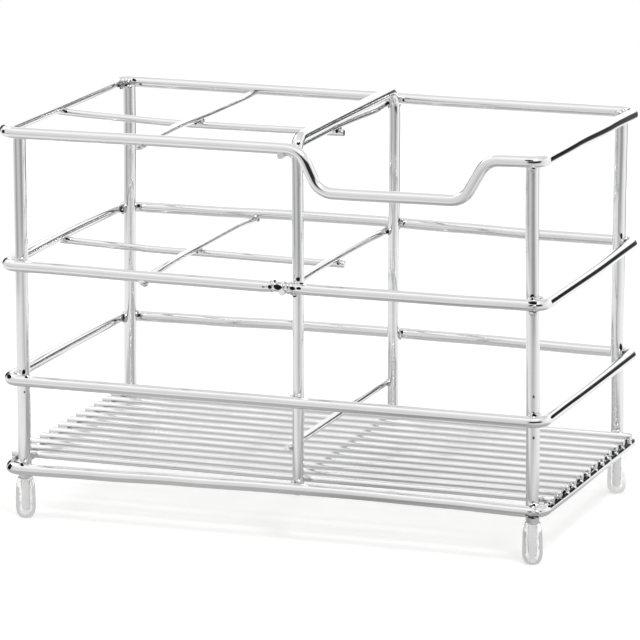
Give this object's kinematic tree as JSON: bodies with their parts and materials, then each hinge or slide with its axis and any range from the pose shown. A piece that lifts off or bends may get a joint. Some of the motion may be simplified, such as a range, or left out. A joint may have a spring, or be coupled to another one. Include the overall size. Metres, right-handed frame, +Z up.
{
  "type": "bathroom organizer",
  "caption": "Welded chrome wire rack for toothbrushes and toothpaste: gridded cells on the left, an open bay with a dipped front on the right, slatted wire floor and clear foot caps.",
  "frame": {"origin": "on the floor, under the middle of the rack", "axes": "+Z up, +X along the rack towards the bay with the dipped front, -Y the front"},
  "size_m": [0.1982, 0.1112, 0.1419],
  "materials": {
    "chrome_wire": "bright chrome plate on drawn steel wire",
    "clear_cap": "clear soft plastic"
  },
  "bodies": {
    "root": {"base_ring": "chrome_wire", "middle_ring": "chrome_wire", "upper_ring": "chrome_wire", "top_ring": "chrome_wire", "divider_hoop": "chrome_wire", "corner_post_front_left": "chrome_wire", "corner_post_front_right": "chrome_wire", "corner_post_back_left": "chrome_wire", "corner_post_back_right": "chrome_wire", "grid_top_lengthwise": "chrome_wire", "grid_upper_lengthwise": "chrome_wire", "grid_top_cross": "chrome_wire", "grid_upper_cross": "chrome_wire", "divider_top_wire": "chrome_wire", "divider_upper_wire": "chrome_wire", "divider_low_wire": "chrome_wire", "floor_wire_01": "chrome_wire", "floor_wire_02": "chrome_wire", "floor_wire_03": "chrome_wire", "floor_wire_04": "chrome_wire", "floor_wire_05": "chrome_wire", "floor_wire_06": "chrome_wire", "floor_wire_07": "chrome_wire", "floor_wire_08": "chrome_wire", "floor_wire_09": "chrome_wire", "floor_wire_10": "chrome_wire", "floor_wire_11": "chrome_wire", "floor_wire_12": "chrome_wire", "foot_cap_front_left": "clear_cap", "foot_cap_front_right": "clear_cap", "foot_cap_back_left": "clear_cap", "foot_cap_back_right": "clear_cap"}
  },
  "joints": []
}
